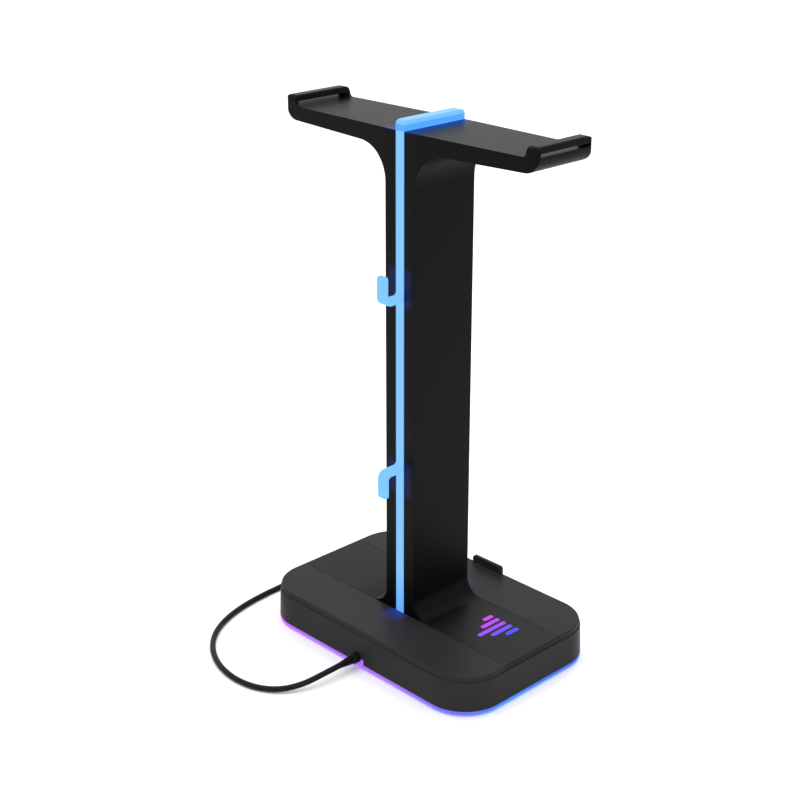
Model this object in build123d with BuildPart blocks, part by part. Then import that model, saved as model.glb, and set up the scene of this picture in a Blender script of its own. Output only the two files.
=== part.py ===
from build123d import *
import math
import os

# Headphone stand: a weighted base with a lit rim, and a T-shaped post made of two black
# half shells that clamp a light guide between them. Millimetres, +Z up. The origin is on the
# table under the middle of the base. The user sits at -Y; the cord and the two cable hooks
# are at +Y.

os.makedirs("parts", exist_ok=True)

# ---------------------------------------------------------------- driving sizes
# base, outside
base_length = 151.5          # X, at the bottom edge of the wall
base_depth = 99.5            # Y
base_corner = 22.3           # plan radius at the bottom edge
foot_standoff = 1.6          # the rubber feet hold the lit rim off the table
ring_height = 1.3            # lit rim that shows below the wall
ledge_z = 18.6               # narrow ledge round the top of the wall
wall_lean = 0.6              # how far each wall leans in by the ledge
ledge_width = 0.65
ledge_round = 0.4
plateau_rise = 2.6
plateau_round = 0.8
# base, inside
base_wall = 2.2
deck_thickness = 2.2
cover_thickness = 2.0
boss_radius = 3.5
# gaps between pieces
fit_gap = 0.2                # pieces that slot together
close_gap = 0.05             # pieces that are clamped against each other
screw_gap = 0.1              # round a screw's shank
# post
post_thickness = 19.7        # X
post_depth = 40.0            # Y
guide_width = 5.66           # X, the light guide between the two half shells
shell_wall = 2.0
foot_flare = 10.0            # radius where the post meets its foot
tray_z = 272.6               # top of the headband tray
arm_reach = 82.5             # from the middle to the end of an arm
arm_root = 9.0               # tray top to the slanted underside, extended to the middle
arm_slope = 0.0272           # the underside rises this much per mm outwards
arm_flare = 17.5             # radius under each arm
arm_taper = 2.05             # each side of the tray is this much further in at the tips
# raised lip at each end of the tray
lip_height = 5.1
lip_thickness = 7.1
lip_lean = 0.5               # the lip's inner face leans out by this much
lip_post = 1.5               # the two posts at the ends of the lip's slot
lip_bar = 2.9                # bar over the slot
lip_slot_floor = 0.65        # the tray curves up by this much to the slot's outer edge
lip_top_round = 1.8
lip_foot_round = 2.0
lip_corner_round = 2.4
tip_round = 7.4              # outer bottom corner of an arm
tip_plan_round = 1.4
# light guide
guide_skin = 2.35            # thickness of the lit band
web_thickness = 4.5          # below the tray
rib_rise = 4.9               # lit rib above the tray
rib_round = 2.3
rib_recess = 0.8
hook_reach = 12.5            # from the post to the outer face of a hook
hook_thickness = 2.1
hook_arm = 2.6
upper_hook_z = 190.35        # underside of the upper hook's arm
upper_hook_rise = 15.2
lower_hook_z = 104.05        # top of the lower hook's arm
lower_hook_drop = 14.4
hook_bend = 4.2
hook_fillet = 1.8
hook_end_round = 1.0
hook_tip_round = 2.0
# phone stop
stop_length = 20.6
stop_thickness = 2.0
stop_height = 5.0
stop_corner = 1.8
stop_fillet = 1.2
# lit mark on the foot
bar_width = 2.6
bar_pitch = 4.4
bar_lengths = [9.0, 15.0, 20.0, 13.0, 7.0]
# cord
cord_radius = 1.5
cord_length = 1500.0
exit_x = 1.0
exit_z = 5.8
collar_radius = 2.8
collar_length = 3.25
relief_length = 8.3
# mode button
button_z = 11.0
button_length = 12.0
button_height = 5.0
button_travel = 0.6
button_gap = 0.3

# ---------------------------------------------------------------- sizes that follow
ring_z = foot_standoff
wall_z = ring_z + ring_height
deck_under = ledge_z - deck_thickness
plateau_z = ledge_z + plateau_rise
pad_under = plateau_z - deck_thickness
cover_top = ring_z + cover_thickness
wall_angle = math.degrees(math.atan(wall_lean / (ledge_z - wall_z)))
plateau_inset = wall_lean + ledge_width
foot_reach = base_length / 2 - plateau_inset
channel_depth = post_depth + 2 * fit_gap
half_guide = guide_width / 2
half_post = post_thickness / 2
half_depth = post_depth / 2
shell_side = half_guide + close_gap
side_x = base_length / 2
rear_y = base_depth / 2
front_y = -rear_y
inner_front_y = front_y + base_wall
lip_top = tray_z + lip_height
rib_top = tray_z + rib_rise
tip_half_depth = half_depth - arm_taper


def save(node, name):
    """Label a finished piece and write it as its own file."""
    node.part.label = name
    export_step(node.part, f"parts/{name}.step")


def plan(inset, mode=Mode.ADD):
    """The base's plan outline, moved in by a distance."""
    RectangleRounded(base_length - 2 * inset, base_depth - 2 * inset, base_corner - inset, mode=mode)


def rounded_outline(*corners):
    """A filled outline from its (across, up, radius) corners."""
    with BuildLine() as outline:
        FilletPolyline(*[corner[:2] for corner in corners], radius=[corner[2] for corner in corners],
                       close=True)
    make_face(outline.edges())


def underside(x):
    """Height of an arm's slanted underside."""
    return tray_z - arm_root + arm_slope * abs(x)


def four(x, y):
    """The four places that mirror each other about the middle."""
    return [(sx * x, sy * y) for sx in (-1, 1) for sy in (-1, 1)]


# ---------------------------------------------------------------- fastener and board places
screw_radius = 1.3
screw_head_radius = 2.6
screw_head_height = 1.1
flange_radius = 4.4
pilot_radius = screw_radius + screw_gap
cover_screw_places = four(side_x - 25.75, rear_y - 11.75)
rubber_foot_places = four(side_x - 15.75, rear_y - 16.75)
rubber_foot_radius = 6.0
rubber_foot_sink = 0.6
foot_screw_places = (four(half_post + foot_flare + 7.15, half_depth - 8)
                     + four(side_x - 9.75, half_depth - 8))
foot_boss_radius = 3.2

pin_radius = 1.5
pin_reach = 6.6
pin_boss_radius = 3.2
pin_heights = [60.0, 120.0, 180.0, tray_z - 32.6]

mark_x = -(side_x - 30.25)
mark_base_y = -half_depth + 9
mark_middle_y = mark_base_y + max(bar_lengths) / 2
mark_plate = (bar_pitch * (len(bar_lengths) - 1) + bar_width + 2.6, max(bar_lengths) + 2.6)

board_length = 58.0
board_depth = 22.0
board_thickness = 1.6
board_z = cover_top + 3.8
board_top = board_z + board_thickness
board_y = rear_y - 30.75
board_post_radius = 2.5
board_post_places = [(x, board_y + y) for x, y in four(25.0, 8.0)]

ballast_length = 84.0
ballast_back_y = -2.5
ballast_front_y = front_y + 14.25
ballast_thickness = 6.0
ballast_y = (ballast_back_y + ballast_front_y) / 2
ballast_boss_radius = 4.0
ballast_screw_places = [(-34.0, ballast_y), (34.0, ballast_y)]

# ---------------------------------------------------------------- base shell
notch_half = 4.86            # half width of the slot in the rear wall that the rim's tab fills
wire_hole_radius = 4.0
rail_x = 7.6                 # inner faces of the two rails that hold the button's board
rail_thickness = 2.6
button_board_y = inner_front_y + 7.55
button_board_thickness = 1.2
button_board_half = 8.5

with BuildPart() as base_shell:
    # leaning outer wall up to the ledge
    with BuildSketch(Plane.XY.offset(wall_z)):
        plan(0)
    extrude(amount=ledge_z - wall_z, taper=wall_angle)
    fillet(base_shell.edges().group_by(Axis.Z)[-1], ledge_round)
    # raised plateau with a soft edge
    with BuildSketch(Plane.XY.offset(ledge_z)):
        plan(plateau_inset)
    extrude(amount=plateau_rise)
    fillet(base_shell.edges().group_by(Axis.Z)[-1], plateau_round)
    # hollow inside, deeper under the two pads beside the channel
    with BuildSketch(Plane.XY.offset(wall_z)):
        plan(base_wall)
    extrude(amount=deck_under - wall_z, mode=Mode.SUBTRACT)
    with BuildSketch(Plane.XY.offset(deck_under)):
        plan(plateau_inset + base_wall)
        Rectangle(base_length, channel_depth + 2 * base_wall, mode=Mode.SUBTRACT)
    extrude(amount=plateau_rise, mode=Mode.SUBTRACT)
    # channel that the post's foot lies in
    with BuildSketch(Plane.XY.offset(ledge_z)):
        Rectangle(base_length, channel_depth)
    extrude(amount=plateau_rise, mode=Mode.SUBTRACT)
    # phone stop on the front edge, with a soft foot and rounded top corners
    with BuildSketch(Plane.YZ.offset(-stop_length / 2)):
        stop_front = front_y + plateau_inset + plateau_round - 0.1
        stop_back = stop_front + stop_thickness
        rounded_outline(
            (stop_front, pad_under, 0),
            (stop_back + 3, pad_under, 0),
            (stop_back + 3, plateau_z, 0),
            (stop_back, plateau_z, stop_fillet),
            (stop_back, plateau_z + stop_height, 0.5),
            (stop_front, plateau_z + stop_height, 0.5),
        )
    extrude(amount=stop_length)
    with BuildSketch(Plane.XZ.offset(-stop_back - 2)):
        with Locations((0, plateau_z + stop_height)):
            Rectangle(stop_length, 2 * stop_corner)
        RectangleRounded(stop_length, 2 * (plateau_z + stop_height), stop_corner, mode=Mode.SUBTRACT)
    extrude(amount=stop_thickness + 4, mode=Mode.SUBTRACT)
    # posts for the cover screws
    with BuildSketch(Plane.XY.offset(cover_top)):
        with Locations(*cover_screw_places):
            Circle(boss_radius)
            Circle(pilot_radius, mode=Mode.SUBTRACT)
    extrude(amount=pad_under - cover_top)
    # rails for the button's board, each with a groove
    with BuildSketch(Plane.XY.offset(board_z)):
        for side in (-1, 1):
            with Locations((side * (rail_x + rail_thickness / 2), button_board_y)):
                Rectangle(rail_thickness, 5)
        with Locations((0, button_board_y)):
            Rectangle(2 * button_board_half + 0.2, button_board_thickness + 0.2, mode=Mode.SUBTRACT)
    extrude(amount=pad_under - board_z)
    # holes for the foot's bosses, the lead to the lights and the lit mark
    with BuildSketch(Plane.XY.offset(deck_under)):
        with Locations(*foot_screw_places):
            Circle(foot_boss_radius + fit_gap)
        Circle(wire_hole_radius)
        with Locations((mark_x, mark_middle_y)):
            Rectangle(mark_plate[0] + 2 * fit_gap, mark_plate[1] + 2 * fit_gap)
    extrude(amount=deck_thickness, mode=Mode.SUBTRACT)
    # slot for the cord, open at the bottom, with a round top for the collar
    with BuildSketch(Plane.XZ.offset(-rear_y - 1)):
        with Locations((exit_x, (wall_z + exit_z) / 2)):
            Rectangle(2 * notch_half, exit_z - wall_z)
        with Locations((exit_x, exit_z)):
            Circle(collar_radius + fit_gap / 2)
    extrude(amount=base_wall + 2, mode=Mode.SUBTRACT)
    # hole for the mode button in the front wall
    with BuildSketch(Plane.XZ.offset(-inner_front_y - 1)):
        with Locations((0, button_z)):
            SlotOverall(button_length + 2 * button_gap, button_height + 2 * button_gap)
    extrude(amount=base_wall + 2, mode=Mode.SUBTRACT)
save(base_shell, "base_shell")

# ---------------------------------------------------------------- lit rim round the bottom
ring_band = 3.2              # width of the rim's bottom face
ring_flange = 6.0            # the step that the cover holds reaches this far in
ring_step_z = wall_z + 1.2
upstand_z = wall_z + 2.5
upstand_outer = base_wall + 0.15
upstand_inner = upstand_outer + 1.5
tab_half = notch_half - 0.16

with BuildPart() as light_ring:
    with BuildSketch(Plane.XY.offset(ring_z)):
        plan(0)
        plan(ring_band, mode=Mode.SUBTRACT)
    extrude(amount=ring_height)
    with BuildSketch(Plane.XY.offset(wall_z)):
        plan(upstand_outer)
        plan(ring_flange, mode=Mode.SUBTRACT)
    extrude(amount=ring_step_z - wall_z)
    with BuildSketch(Plane.XY.offset(ring_step_z)):
        plan(upstand_outer)
        plan(upstand_inner, mode=Mode.SUBTRACT)
    extrude(amount=upstand_z - ring_step_z)
    # tab that fills the cord's slot, with a saddle for the collar
    with BuildSketch(Plane.XZ.offset(-rear_y + 0.15)):
        rounded_outline(
            (exit_x - tab_half, wall_z, 0),
            (exit_x + tab_half, wall_z, 0),
            (exit_x + tab_half, exit_z, 1.0),
            (exit_x - tab_half, exit_z, 1.0),
        )
    extrude(amount=upstand_inner - 0.15)
    with BuildSketch(Plane.XZ.offset(-rear_y - 1)):
        with Locations((exit_x, exit_z)):
            Circle(collar_radius + fit_gap)
    extrude(amount=ring_flange + 2, mode=Mode.SUBTRACT)
save(light_ring, "light_ring")

# ---------------------------------------------------------------- cover under the base
with BuildPart() as base_cover:
    with BuildSketch(Plane.XY.offset(ring_z)):
        plan(ring_band + fit_gap)
    extrude(amount=ring_height)
    with BuildSketch(Plane.XY.offset(wall_z)):
        plan(ring_flange + fit_gap)
    extrude(amount=cover_top - wall_z)
    # posts for the control board, and dowels that the ballast drops over
    with BuildSketch(Plane.XY.offset(cover_top)):
        with Locations(*board_post_places):
            Circle(board_post_radius)
    extrude(amount=board_z - cover_top)
    with BuildSketch(Plane.XY.offset(cover_top)):
        with Locations(*ballast_screw_places):
            Circle(ballast_boss_radius)
    extrude(amount=ballast_thickness - fit_gap)
    with BuildSketch(Plane.XY.offset(cover_top + 0.6)):
        with Locations(*board_post_places, *ballast_screw_places):
            Circle(pilot_radius)
    extrude(amount=ballast_thickness, mode=Mode.SUBTRACT)
    # screw holes with sunk heads, and shallow seats for the rubber feet
    with BuildSketch(Plane.XY.offset(ring_z)):
        with Locations(*cover_screw_places):
            Circle(pilot_radius)
    extrude(amount=cover_thickness, mode=Mode.SUBTRACT)
    with BuildSketch(Plane.XY.offset(ring_z)):
        with Locations(*cover_screw_places):
            Circle(screw_head_radius + fit_gap)
    extrude(amount=screw_head_height, mode=Mode.SUBTRACT)
    with BuildSketch(Plane.XY.offset(ring_z)):
        with Locations(*rubber_foot_places):
            Circle(rubber_foot_radius + fit_gap / 2)
    extrude(amount=rubber_foot_sink, mode=Mode.SUBTRACT)
save(base_cover, "base_cover")

# four separate feet, soft at the bottom edge
with BuildPart() as rubber_feet:
    with BuildSketch():
        with Locations(*rubber_foot_places):
            Circle(rubber_foot_radius)
    extrude(amount=ring_z + rubber_foot_sink)
    fillet(rubber_feet.edges().group_by(Axis.Z)[0], 0.5)
save(rubber_feet, "rubber_feet")


# ---------------------------------------------------------------- screws
def screws(places, under_head_z, length, head_radius, points_up):
    """Screws with flat round heads: the shank runs up or down from the face under the head."""
    way = 1 if points_up else -1
    with BuildPart() as group:
        with BuildSketch(Plane.XY.offset(under_head_z)):
            with Locations(*places):
                Circle(screw_radius)
        extrude(amount=way * length)
        with BuildSketch(Plane.XY.offset(under_head_z)):
            with Locations(*places):
                Circle(head_radius)
        extrude(amount=-way * screw_head_height)
        # cross recess in each head
        with BuildSketch(Plane.XY.offset(under_head_z - way * screw_head_height)):
            with Locations(*places):
                Rectangle(0.5 * head_radius * 2, 0.6)
                Rectangle(0.6, 0.5 * head_radius * 2)
        extrude(amount=way * 0.6, mode=Mode.SUBTRACT)
    return group


cover_screws = screws(cover_screw_places, ring_z + screw_head_height, 9.0, screw_head_radius, True)
save(cover_screws, "cover_screws")
foot_screws = screws(foot_screw_places, deck_under, 3.4, flange_radius, True)
save(foot_screws, "foot_screws")
board_screws = screws(board_post_places, board_top, 4.0, screw_head_radius, False)
save(board_screws, "board_screws")
ballast_screws = screws(ballast_screw_places, cover_top + ballast_thickness, 4.8,
                        flange_radius + 1, False)
save(ballast_screws, "ballast_screws")

# ---------------------------------------------------------------- steel ballast
with BuildPart() as ballast_plate:
    with BuildSketch(Plane.XY.offset(cover_top)):
        with Locations((0, ballast_y)):
            Rectangle(ballast_length, ballast_back_y - ballast_front_y)
        with Locations(*ballast_screw_places):
            Circle(ballast_boss_radius + fit_gap, mode=Mode.SUBTRACT)
    extrude(amount=ballast_thickness)
    chamfer(ballast_plate.faces().sort_by(Axis.Z)[-1].outer_wire().edges(), 0.8)
save(ballast_plate, "ballast_plate")

# ---------------------------------------------------------------- control board
header_size = (8.0, 5.0, 5.0)
header_front_y = board_y - 7.0       # headers along the board's front edge
header_rear_y = board_y + 7.0
header_mid_z = board_top + header_size[2] / 2
button_header_x = 16.0
mark_header_x = -16.0
ring_header_x = 16.0
header_places = [(0.0, header_front_y), (button_header_x, header_front_y),
                 (mark_header_x, header_front_y), (ring_header_x, header_rear_y)]

with BuildPart() as control_board:
    with BuildSketch(Plane.XY.offset(board_z)):
        with Locations((0, board_y)):
            RectangleRounded(board_length, board_depth, 2)
        with Locations(*board_post_places):
            Circle(pilot_radius, mode=Mode.SUBTRACT)
    extrude(amount=board_thickness)
save(control_board, "control_board")

with BuildPart() as board_headers:
    with BuildSketch(Plane.XY.offset(board_top)):
        with Locations(*header_places):
            Rectangle(*header_size[:2])
    extrude(amount=header_size[2])
save(board_headers, "board_headers")

with BuildPart() as cord_connector:
    with BuildSketch(Plane.XY.offset(board_top)):
        with Locations((exit_x, header_rear_y)):
            Rectangle(*header_size[:2])
    extrude(amount=header_size[2])
save(cord_connector, "cord_connector")

# controller, driver and two tall capacitors
with BuildPart() as board_chips:
    with BuildSketch(Plane.XY.offset(board_top)):
        with Locations((-4, board_y)):
            Rectangle(7, 7)
        with Locations((8, board_y)):
            Rectangle(5, 5)
    extrude(amount=1.0)
    with BuildSketch(Plane.XY.offset(board_top)):
        with Locations((-14, header_rear_y), (-20, board_y - 2)):
            Circle(2.0)
    extrude(amount=4.2)
save(board_chips, "board_chips")

# ---------------------------------------------------------------- lights for the rim
ring_led_height = 0.6
ring_board_z = upstand_z + 0.4 + ring_led_height
ring_board_thickness = 1.0
ring_board_width = 5.0
ring_led_inset = upstand_outer + 0.75
ring_board_inset = base_wall + 0.3 + ring_board_width / 2
long_board_length = 36.0
long_board_x = 28.0
short_board_length = 48.0

with BuildPart() as ring_led_boards:
    with BuildSketch(Plane.XY.offset(ring_board_z)):
        with Locations(*four(long_board_x, rear_y - ring_board_inset)):
            Rectangle(long_board_length, ring_board_width)
        with Locations((side_x - ring_board_inset, 0), (ring_board_inset - side_x, 0)):
            Rectangle(ring_board_width, short_board_length)
    extrude(amount=ring_board_thickness)
save(ring_led_boards, "ring_led_boards")

with BuildPart() as ring_leds:
    with BuildSketch(Plane.XY.offset(ring_board_z)):
        with Locations(*[(x + step, y) for x, y in four(long_board_x, rear_y - ring_led_inset)
                         for step in (-12, 0, 12)]):
            Rectangle(3.0, 1.4)
        with Locations(*[(side * (side_x - ring_led_inset), step) for side in (-1, 1)
                         for step in (-16, 0, 16)]):
            Rectangle(1.4, 3.0)
    extrude(amount=-ring_led_height)
save(ring_leds, "ring_leds")


# ---------------------------------------------------------------- half shells of the post
def tray_plan():
    """The tray's plan outline: square at the post, narrowing towards rounded tips."""
    corners = []
    for sx, sy in ((1, -1), (1, 1), (-1, 1), (-1, -1)):
        root = (sx * half_post, sy * half_depth, 0)
        tip = (sx * arm_reach, sy * tip_half_depth, tip_plan_round)
        corners += [root, tip] if sx * sy < 0 else [tip, root]
    rounded_outline(*corners)


def column_shell(side):
    """One half of the post with its foot and arm, on the side of X given by the sign."""
    core_top_z = tray_z - shell_wall
    core_side = half_post - shell_wall
    core_reach = arm_reach - lip_thickness - 3
    flare_z = underside(half_post) - arm_flare
    tip_depth = 2 * tip_half_depth
    with BuildPart() as shell:
        # front view: foot, post, arm and lip
        with BuildSketch(Plane.XZ):
            rounded_outline(
                (side * shell_side, ledge_z, 0),
                (side * foot_reach, ledge_z, 0),
                (side * foot_reach, plateau_z, plateau_round),
                (side * half_post, plateau_z, foot_flare),
                (side * half_post, underside(half_post), arm_flare),
                (side * arm_reach, underside(arm_reach), tip_round),
                (side * arm_reach, lip_top, lip_top_round),
                (side * (arm_reach - lip_thickness + lip_lean), lip_top, 1.0),
                (side * (arm_reach - lip_thickness - 0.3), tray_z, lip_foot_round),
                (side * shell_side, tray_z, 0),
            )
        extrude(amount=half_depth, both=True)
        # plan view: the arms narrow towards their tips
        with BuildSketch(Plane.XY.offset(flare_z)):
            Rectangle(2 * arm_reach + 10, post_depth + 10)
            with BuildSketch(mode=Mode.SUBTRACT):
                tray_plan()
        extrude(amount=lip_top + 1 - flare_z, mode=Mode.SUBTRACT)
        # end view: the lip's rounded top corners and the slot under its bar
        with BuildSketch(Plane.YZ.offset(side * (arm_reach - lip_thickness - 2))):
            with Locations((0, lip_top)):
                Rectangle(post_depth, 2 * lip_corner_round)
            with Locations((0, lip_top - lip_height)):
                RectangleRounded(tip_depth, 2 * lip_height, lip_corner_round, mode=Mode.SUBTRACT)
        extrude(amount=side * (lip_thickness + 4), mode=Mode.SUBTRACT)
        # slot under the lip's bar, with the tray curving up gently to its outer edge
        slot_inner = (side * (arm_reach - lip_thickness - lip_foot_round - 1), tray_z)
        slot_outer = (side * arm_reach, tray_z + lip_slot_floor)
        slot_side = side * (arm_reach + 1)
        with BuildSketch(Plane.XZ):
            with BuildLine():
                TangentArc(slot_inner, slot_outer, tangent=(side, 0))
                Line(slot_outer, (slot_side, slot_outer[1]))
                Line((slot_side, slot_outer[1]), (slot_side, lip_top - lip_bar))
                Line((slot_side, lip_top - lip_bar), (slot_inner[0], lip_top - lip_bar))
                Line((slot_inner[0], lip_top - lip_bar), slot_inner)
            make_face()
        extrude(amount=tip_half_depth - lip_post, both=True, mode=Mode.SUBTRACT)
        # hollow core of the arm, then of the post
        with BuildSketch(Plane.XZ):
            rounded_outline(
                (side * shell_side, flare_z, 0),
                (side * core_side, flare_z, 0),
                (side * core_side, underside(core_side) + shell_wall, arm_flare + shell_wall - 0.5),
                (side * core_reach, underside(core_reach) + shell_wall, 0.5),
                (side * core_reach, core_top_z, 0.5),
                (side * shell_side, core_top_z, 0),
            )
        extrude(amount=tip_half_depth - shell_wall, both=True, mode=Mode.SUBTRACT)
        with BuildSketch(Plane.XZ):
            rounded_outline(
                (side * shell_side, plateau_z + 1, 0),
                (side * core_side, plateau_z + 1, 1.0),
                (side * core_side, flare_z, 0),
                (side * shell_side, flare_z, 0),
            )
        extrude(amount=half_depth - shell_wall, both=True, mode=Mode.SUBTRACT)
        # bosses for the pins that join the two halves
        with BuildSketch(Plane.YZ.offset(side * shell_side)):
            with Locations(*[(0, z) for z in pin_heights]):
                Circle(pin_boss_radius)
        extrude(amount=side * (core_side + 0.5 - shell_side))
        with BuildSketch(Plane.YZ.offset(side * shell_side)):
            with Locations(*[(0, z) for z in pin_heights]):
                Circle(pin_radius + screw_gap)
        extrude(amount=side * (pin_reach + 0.4 - shell_side), mode=Mode.SUBTRACT)
        # bosses under the foot that reach through the base, with blind screw holes
        with BuildSketch(Plane.XY.offset(ledge_z)):
            with Locations(*[place for place in foot_screw_places if place[0] * side > 0]):
                Circle(foot_boss_radius)
        extrude(amount=-deck_thickness)
        with BuildSketch(Plane.XY.offset(deck_under)):
            with Locations(*[place for place in foot_screw_places if place[0] * side > 0]):
                Circle(pilot_radius)
        extrude(amount=deck_thickness + plateau_rise - 1, mode=Mode.SUBTRACT)
        # windows for the lit mark
        if side < 0:
            with BuildSketch(Plane.XY.offset(ledge_z)):
                mark_bars(close_gap)
            extrude(amount=plateau_rise, mode=Mode.SUBTRACT)
    return shell


def mark_bars(gap):
    """The mark's five rounded bars, like a sound meter, each grown by a gap."""
    for i, length in enumerate(bar_lengths):
        x = mark_x + (i - (len(bar_lengths) - 1) / 2) * bar_pitch
        with Locations((x, mark_base_y + length / 2)):
            RectangleRounded(bar_width + 2 * gap, length + 2 * gap, bar_width / 2 + gap - 0.01)


left_column_shell = column_shell(-1)
save(left_column_shell, "left_column_shell")
right_column_shell = column_shell(1)
save(right_column_shell, "right_column_shell")

with BuildPart() as joining_pins:
    with BuildSketch(Plane.YZ):
        with Locations(*[(0, z) for z in pin_heights]):
            Circle(pin_radius)
    extrude(amount=pin_reach, both=True)
    chamfer(joining_pins.edges(), 0.3)
save(joining_pins, "joining_pins")

# ---------------------------------------------------------------- light guide
leg_inner_y = half_depth - guide_skin
web_under_z = tray_z - web_thickness
prong_y = half_depth + hook_reach - hook_thickness
hook_y = half_depth + hook_reach
root_y = half_depth - 1

with BuildPart() as light_guide:
    # end view: two legs, the web across the top, the rib and both hooks
    with BuildSketch(Plane.YZ):
        rounded_outline(
            (-half_depth, ledge_z, 0),
            (half_depth, ledge_z, 0),
            (half_depth, rib_top, rib_round),
            (-half_depth, rib_top, rib_round),
        )
        with BuildSketch(mode=Mode.SUBTRACT):
            rounded_outline(
                (-leg_inner_y, ledge_z, 0),
                (leg_inner_y, ledge_z, 0),
                (leg_inner_y, web_under_z, 3.0),
                (-leg_inner_y, web_under_z, 3.0),
            )
        with BuildSketch():
            rounded_outline(
                (root_y, upper_hook_z, 0),
                (hook_y, upper_hook_z, hook_bend),
                (hook_y, upper_hook_z + upper_hook_rise, hook_end_round),
                (prong_y, upper_hook_z + upper_hook_rise, hook_end_round),
                (prong_y, upper_hook_z + hook_arm, hook_fillet),
                (half_depth, upper_hook_z + hook_arm, hook_fillet),
                (half_depth, upper_hook_z + 2 * hook_arm, 0),
                (root_y, upper_hook_z + 2 * hook_arm, 0),
            )
            rounded_outline(
                (root_y, lower_hook_z + hook_arm, 0),
                (half_depth, lower_hook_z + hook_arm, 0),
                (half_depth, lower_hook_z, hook_fillet),
                (hook_y, lower_hook_z, hook_bend),
                (hook_y, lower_hook_z - lower_hook_drop, hook_end_round),
                (prong_y, lower_hook_z - lower_hook_drop, hook_end_round),
                (prong_y, lower_hook_z - hook_arm, hook_fillet),
                (root_y, lower_hook_z - hook_arm, 0),
            )
    extrude(amount=half_guide, both=True)
    # rounded tip on each hook's prong
    with BuildSketch(Plane.XZ.offset(1 - prong_y)):
        for tip_z, way in ((upper_hook_z + upper_hook_rise, 1), (lower_hook_z - lower_hook_drop, -1)):
            with Locations((0, tip_z)):
                Rectangle(guide_width, 2 * hook_tip_round)
            with Locations((0, tip_z - way * guide_width)):
                RectangleRounded(guide_width, 2 * guide_width, hook_tip_round, mode=Mode.SUBTRACT)
    extrude(amount=-hook_thickness - 2, mode=Mode.SUBTRACT)
    # shallow recess along each side of the rib
    with BuildSketch(Plane.YZ.offset(half_guide - rib_recess)):
        with Locations((0, tray_z + (rib_rise - guide_skin) / 2 + 0.15)):
            RectangleRounded(2 * leg_inner_y, rib_rise - guide_skin - 0.3, 0.5)
    extrude(amount=rib_recess, mode=Mode.SUBTRACT)
    with BuildSketch(Plane.YZ.offset(rib_recess - half_guide)):
        with Locations((0, tray_z + (rib_rise - guide_skin) / 2 + 0.15)):
            RectangleRounded(2 * leg_inner_y, rib_rise - guide_skin - 0.3, 0.5)
    extrude(amount=-rib_recess, mode=Mode.SUBTRACT)
save(light_guide, "light_guide")

# ---------------------------------------------------------------- lights inside the post
carrier_bottom_z = plateau_z + 1
carrier_top_z = web_under_z - 5
carrier_half_y = leg_inner_y - 2.25
carrier_flange = 2.0
strip_thickness = 0.6
led_pitch = 16.0
led_count = 15
led_size = (3.5, 3.5, 0.8)
strip_bottom_z = carrier_bottom_z + 2
strip_height = carrier_top_z - carrier_bottom_z - 4
led_middle_z = strip_bottom_z + strip_height / 2

with BuildPart() as led_carrier:
    # I-shaped bar, with holes for the joining pins
    with BuildSketch(Plane.XY.offset(carrier_bottom_z)):
        Rectangle(2.0, 2 * carrier_half_y)
        with Locations((0, carrier_half_y - carrier_flange / 2), (0, carrier_flange / 2 - carrier_half_y)):
            Rectangle(2 * half_guide - 0.4, carrier_flange)
    extrude(amount=carrier_top_z - carrier_bottom_z)
    with BuildSketch(Plane.YZ.offset(-half_guide)):
        with Locations(*[(0, z) for z in pin_heights]):
            Circle(pin_radius + screw_gap)
    extrude(amount=guide_width, mode=Mode.SUBTRACT)
save(led_carrier, "led_carrier")

for side, end_name in ((-1, "front"), (1, "rear")):
    strip_plane = Plane.XZ.offset(-side * carrier_half_y)
    led_plane = Plane.XZ.offset(-side * (carrier_half_y + strip_thickness))
    with BuildPart() as led_strip:
        with BuildSketch(strip_plane):
            with Locations((0, led_middle_z)):
                Rectangle(4.8, strip_height)
        extrude(amount=-side * strip_thickness)
    save(led_strip, end_name + "_led_strip")
    with BuildPart() as leds:
        with BuildSketch(led_plane):
            with Locations((0, led_middle_z)):
                with GridLocations(1, led_pitch, 1, led_count):
                    Rectangle(*led_size[:2])
        extrude(amount=-side * led_size[2])
    save(leds, end_name + "_leds")

# ---------------------------------------------------------------- lit mark
mark_plate_height = 1.2
mark_board_z = deck_under - 1.2
mark_led_height = 0.6

with BuildPart() as mark_diffuser:
    with BuildSketch(Plane.XY.offset(ledge_z)):
        mark_bars(0)
    extrude(amount=plateau_rise)
    with BuildSketch(Plane.XY.offset(ledge_z - mark_plate_height)):
        with Locations((mark_x, mark_middle_y)):
            Rectangle(*mark_plate)
    extrude(amount=mark_plate_height)
save(mark_diffuser, "mark_diffuser")

with BuildPart() as mark_led_board:
    with BuildSketch(Plane.XY.offset(mark_board_z)):
        with Locations((mark_x, mark_middle_y)):
            RectangleRounded(mark_plate[0] + 4, mark_plate[1] + 4, 1)
    extrude(amount=deck_under - mark_board_z)
save(mark_led_board, "mark_led_board")

with BuildPart() as mark_leds:
    with BuildSketch(Plane.XY.offset(deck_under)):
        with Locations((mark_x, mark_middle_y)):
            with GridLocations(2 * bar_pitch, 8.0, 3, 2):
                Rectangle(3.0, 3.0)
    extrude(amount=mark_led_height)
save(mark_leds, "mark_leds")

# ---------------------------------------------------------------- mode button
tact_gap = 0.1
button_face_y = front_y
button_flange_y = inner_front_y + 0.25
button_back_y = button_flange_y + 1.0
stem_end_y = button_back_y + 2.0
tact_front_y = stem_end_y + 1.0
tact_size = 6.0
plunger_radius = 1.6

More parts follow.
